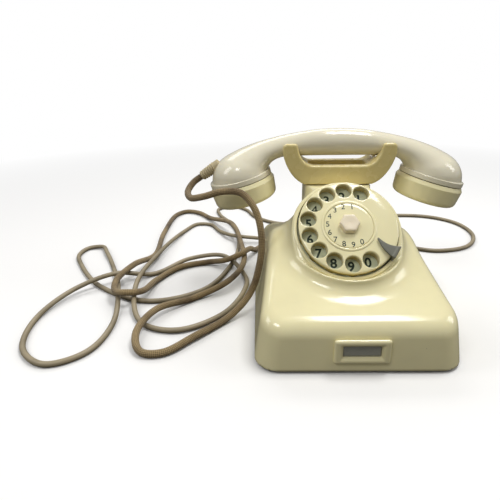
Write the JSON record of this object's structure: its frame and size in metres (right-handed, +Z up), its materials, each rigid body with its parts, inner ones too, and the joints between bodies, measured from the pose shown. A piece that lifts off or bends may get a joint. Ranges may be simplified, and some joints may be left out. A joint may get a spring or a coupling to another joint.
{
  "type": "rotary telephone",
  "caption": "Desk telephone with a rotary dial, a cradle with a hook switch, a lift-off handset on a braided cord, a bell inside and a line cord with a plug.",
  "frame": {"origin": "on the table, under the middle of the telephone without its cords", "axes": "+X to the right seen from the front, front towards -Y, +Z up"},
  "size_m": [0.4926, 0.391, 0.1543],
  "materials": {
    "ivory_gloss": "moulded gloss ivory",
    "ivory_pale": "moulded gloss pale ivory",
    "ivory_cradle": "moulded aged ivory",
    "nut_cream": "moulded cream",
    "number_plate": "enamelled pale green-white",
    "finger_stop": "dull grey",
    "steel": "plated",
    "brass": "satin",
    "dark_plastic": "moulded",
    "bakelite": "moulded",
    "rubber": "moulded",
    "copper_winding": "enamelled wire",
    "braided_cord": "braided",
    "line_cord": "extruded",
    "cord_sleeve": "moulded",
    "paper": "plain",
    "window": "clear"
  },
  "bodies": {
    "root": {"housing": "ivory_gloss", "base_plate": "steel", "foot_front_left": "rubber", "foot_front_right": "rubber", "foot_rear_left": "rubber", "foot_rear_right": "rubber", "base_screw_left": "steel", "base_screw_right": "steel", "card_frame": "ivory_gloss", "name_card": "paper", "card_window": "window", "collar": "ivory_gloss", "number_plate": "number_plate", "dial_case": "steel", "return_spring": "steel", "pulse_contacts": "dark_plastic", "finger_stop": "finger_stop", "hook_lever_pin": "steel", "hook_spring": "steel", "hook_contacts": "dark_plastic", "gong_left": "brass", "gong_post_left": "steel", "ringer_coil_left": "copper_winding", "gong_right": "brass", "gong_post_right": "steel", "ringer_coil_right": "copper_winding", "ringer_yoke": "steel", "capacitor": "steel", "induction_coil": "copper_winding", "terminal_strip": "bakelite", "handset_outlet_gland": "cord_sleeve", "line_outlet_gland": "cord_sleeve", "handset_cord": "braided_cord", "line_cord": "line_cord", "line_plug": "dark_plastic"},
    "dial": {"finger_wheel": "ivory_gloss", "number_disc": "ivory_gloss", "disc_clamp_nut": "nut_cream", "main_shaft": "steel", "main_gear": "brass"},
    "pulse": {"pulse_pinion": "brass", "pulse_cam": "bakelite", "pulse_arbor": "steel"},
    "governor": {"governor_spindle": "steel", "governor_weight_a": "brass", "governor_weight_b": "brass"},
    "cradle": {"cradle": "ivory_cradle", "cradle_plunger_left": "steel", "cradle_plunger_right": "steel"},
    "hook": {"hook_lever": "steel"},
    "clapper": {"clapper": "brass"},
    "handset": {"handset_shell": "ivory_pale", "mouthpiece_cap": "ivory_gloss", "transmitter_capsule": "steel", "earpiece_cap": "ivory_gloss", "receiver_capsule": "steel", "handset_gland": "cord_sleeve"}
  },
  "joints": [
    {"name": "handset_lift", "type": "slide", "parent": "root", "child": "handset", "axis": [0, 0, 1], "range_m": [0, 0.12]},
    {"name": "cradle_press", "type": "slide", "parent": "root", "child": "cradle", "axis": [0, 0, 1], "range_m": [0, 0.004]},
    {"name": "hook_tilt", "type": "hinge", "parent": "root", "child": "hook", "pos_m": [0, 0.029, 0.0727], "axis": [1, 0, 0], "range_deg": [0, 10.6], "deforming": ["hook_spring"]},
    {"name": "dial_turn", "type": "hinge", "parent": "root", "child": "dial", "pos_m": [0, -0.0226, 0.0869], "axis": [0, 0.7009, -0.7133], "range_deg": [0, 310], "stiffness_Nm_per_rad": 0.01, "springref_deg": -34.38},
    {"name": "pulse_turn", "type": "hinge", "parent": "root", "child": "pulse", "pos_m": [0.0225, -0.01148, 0.06417], "axis": [0, 0.7009, -0.7133], "range_deg": [-931, 0]},
    {"name": "governor_spin", "type": "hinge", "parent": "root", "child": "governor", "pos_m": [-0.024, -0.00293, 0.07259], "axis": [0, 0.7009, -0.7133], "range_deg": [0, 2481]},
    {"name": "clapper_swing", "type": "hinge", "parent": "root", "child": "clapper", "pos_m": [0, 0.004, 0.022], "axis": [0, 0, 1], "range_deg": [-5, 5]}
  ],
  "couplings": [
    {"joint": "cradle_press", "follows": "handset_lift", "ratio": 0.0333},
    {"joint": "hook_tilt", "follows": "handset_lift", "rad_per_m": 1.52},
    {"joint": "pulse_turn", "follows": "dial_turn", "ratio": -3},
    {"joint": "governor_spin", "follows": "dial_turn", "ratio": 8}
  ]
}
